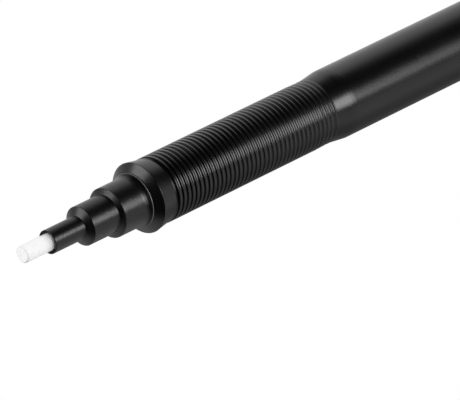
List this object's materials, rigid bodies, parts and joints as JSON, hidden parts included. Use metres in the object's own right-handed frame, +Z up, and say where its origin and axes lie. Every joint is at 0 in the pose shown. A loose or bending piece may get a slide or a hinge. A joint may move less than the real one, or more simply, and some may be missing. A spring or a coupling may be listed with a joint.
{
  "type": "mechanical eraser pen",
  "caption": "Click-action eraser pen: a thin white stick fed through a stepped nozzle, ribbed grip, plain black barrel, sprung clip and push button.",
  "frame": {"origin": "centre of the eraser's flat rubbing face", "axes": "+X along the pen's axis from the eraser to the push button, +Z up while the pen lies on a table with its clip on the +Y side"},
  "size_m": [0.1315, 0.0125, 0.0096],
  "materials": {
    "eraser_vinyl": "white vinyl, satin, flat cut end",
    "nozzle_black": "fine satin black on turned metal",
    "barrel_black": "satin black",
    "clip_black": "satin black on spring steel",
    "button_black": "satin black",
    "chuck_brass": "turned brass",
    "spring_steel": "bright drawn wire",
    "tube_resin": "natural resin",
    "housing_resin": "grey resin",
    "ring_rubber": "grey rubber"
  },
  "bodies": {
    "barrel": {"nozzle": "nozzle_black", "guide_sleeve": "nozzle_black", "friction_ring": "ring_rubber", "barrel": "barrel_black", "chuck_housing": "housing_resin", "return_spring": "spring_steel", "rear_ferrule": "button_black", "clip_ring": "clip_black"},
    "feed_unit": {"chuck_sleeve": "chuck_brass", "tube_connector": "housing_resin", "feed_tube": "tube_resin"},
    "button": {"push_button": "button_black", "button_plug": "housing_resin"},
    "clutch_ring": {"chuck_ring": "chuck_brass"},
    "jaw_1": {"chuck_jaw_1": "chuck_brass"},
    "jaw_2": {"chuck_jaw_2": "chuck_brass"},
    "jaw_3": {"chuck_jaw_3": "chuck_brass"},
    "eraser": {"eraser_stick": "eraser_vinyl"},
    "clip": {"clip_arm": "clip_black"}
  },
  "joints": [
    {"name": "button_press", "type": "slide", "parent": "barrel", "child": "feed_unit", "axis": [-1, 0, 0], "range_m": [0, 0.004], "stiffness_N_per_m": 300, "springref_m": -0.003, "deforming": ["return_spring"]},
    {"name": "button_pull", "type": "slide", "parent": "feed_unit", "child": "button", "axis": [1, 0, 0], "range_m": [0, 0.012]},
    {"name": "chuck_ring_slip", "type": "slide", "parent": "feed_unit", "child": "clutch_ring", "axis": [1, 0, 0], "range_m": [0, 0.003]},
    {"name": "jaw_1_open", "type": "hinge", "parent": "feed_unit", "child": "jaw_1", "pos_m": [0.0296, 0.00155, 0], "axis": [0, 0, -1], "range_deg": [0, 1.5]},
    {"name": "jaw_2_open", "type": "hinge", "parent": "feed_unit", "child": "jaw_2", "pos_m": [0.0296, -0.00077, 0.00134], "axis": [0, 0.866, 0.5], "range_deg": [0, 1.5]},
    {"name": "jaw_3_open", "type": "hinge", "parent": "feed_unit", "child": "jaw_3", "pos_m": [0.0296, -0.00077, -0.00134], "axis": [0, -0.866, 0.5], "range_deg": [0, 1.5]},
    {"name": "eraser_feed", "type": "slide", "parent": "barrel", "child": "eraser", "axis": [-1, 0, 0], "range_m": [-0.0045, 0.06]},
    {"name": "clip_flex", "type": "hinge", "parent": "barrel", "child": "clip", "pos_m": [0.1172, 0.00572, -0.00243], "axis": [0, -0.3907, -0.9205], "range_deg": [0, 6], "stiffness_Nm_per_rad": 0.8, "springref_deg": -2.86}
  ],
  "couplings": [
    {"joint": "chuck_ring_slip", "follows": "button_press", "ratio": 0.75},
    {"joint": "jaw_1_open", "follows": "button_press", "rad_per_m": 6.5},
    {"joint": "jaw_2_open", "follows": "button_press", "rad_per_m": 6.5},
    {"joint": "jaw_3_open", "follows": "button_press", "rad_per_m": 6.5}
  ]
}
